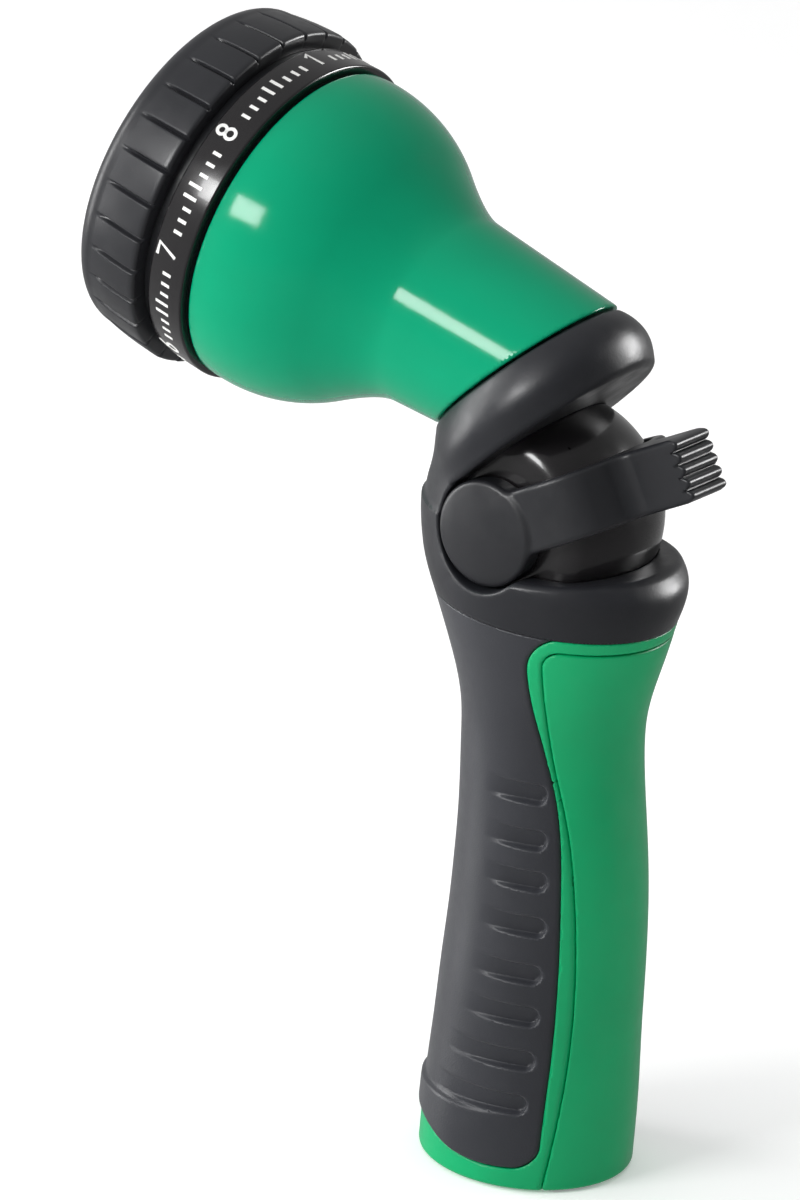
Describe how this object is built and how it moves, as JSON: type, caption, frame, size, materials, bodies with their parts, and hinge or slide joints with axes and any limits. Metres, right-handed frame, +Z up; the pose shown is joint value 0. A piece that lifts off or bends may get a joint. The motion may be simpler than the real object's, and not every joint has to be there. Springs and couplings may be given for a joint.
{
  "type": "hose spray nozzle",
  "caption": "Garden hose spray nozzle with a gripped handle, a thumb lever that turns a valve barrel, and a round head with a turning spray pattern selector.",
  "frame": {"origin": "centre of the hose inlet's mouth at the bottom of the handle", "axes": "+Z up the handle along the inlet's axis, the spray head towards -X, the lever's tab towards +X, and the same on both sides of Y = 0"},
  "size_m": [0.1325, 0.0702, 0.2053],
  "materials": {
    "green_gloss": "glossy green painted-looking plastic",
    "green_satin": "satin green moulded plastic",
    "black_gloss": "glossy black moulded plastic",
    "black_plastic": "satin black moulded plastic",
    "soft_grip": "soft dark grey thermoplastic rubber",
    "seal_rubber": "black seal rubber",
    "inner_plastic": "off-white acetal",
    "steel": "stainless steel"
  },
  "bodies": {
    "root": {"hose_washer": "seal_rubber", "inlet_screen": "steel", "inlet_socket": "black_plastic", "waterway_tube": "inner_plastic", "tube_o_rings": "seal_rubber", "handle_front_shell": "green_satin", "handle_rear_cover": "green_satin", "grip": "soft_grip", "handle_screws": "steel", "valve_housing": "black_plastic", "valve_chamber": "black_gloss", "seat_seals": "seal_rubber", "outlet_o_ring": "seal_rubber", "head_body": "green_gloss", "flow_plate": "inner_plastic", "plate_o_ring": "seal_rubber", "port_seal": "seal_rubber", "seal_spring": "steel", "detent_ball": "steel", "detent_spring": "steel", "spindle_o_ring": "seal_rubber", "screw_washer": "steel", "centre_screw": "steel"},
    "lever": {"lever": "black_plastic", "valve_barrel": "inner_plastic", "barrel_o_rings": "seal_rubber"},
    "selector": {"selector_drum": "black_plastic", "label_ring": "black_gloss", "grip_ring": "soft_grip", "face_plate": "black_plastic", "spray_inserts": "soft_grip"}
  },
  "joints": [
    {"name": "lever_hinge", "type": "hinge", "parent": "root", "child": "lever", "pos_m": [-0.01, 0, 0.1286], "axis": [0, 1, 0], "range_deg": [-20, 26]},
    {"name": "selector_turn", "type": "hinge", "parent": "root", "child": "selector", "pos_m": [-0.0725, 0, 0.1675], "axis": [-0.9816, 0, 0.1908], "continuous": true}
  ]
}
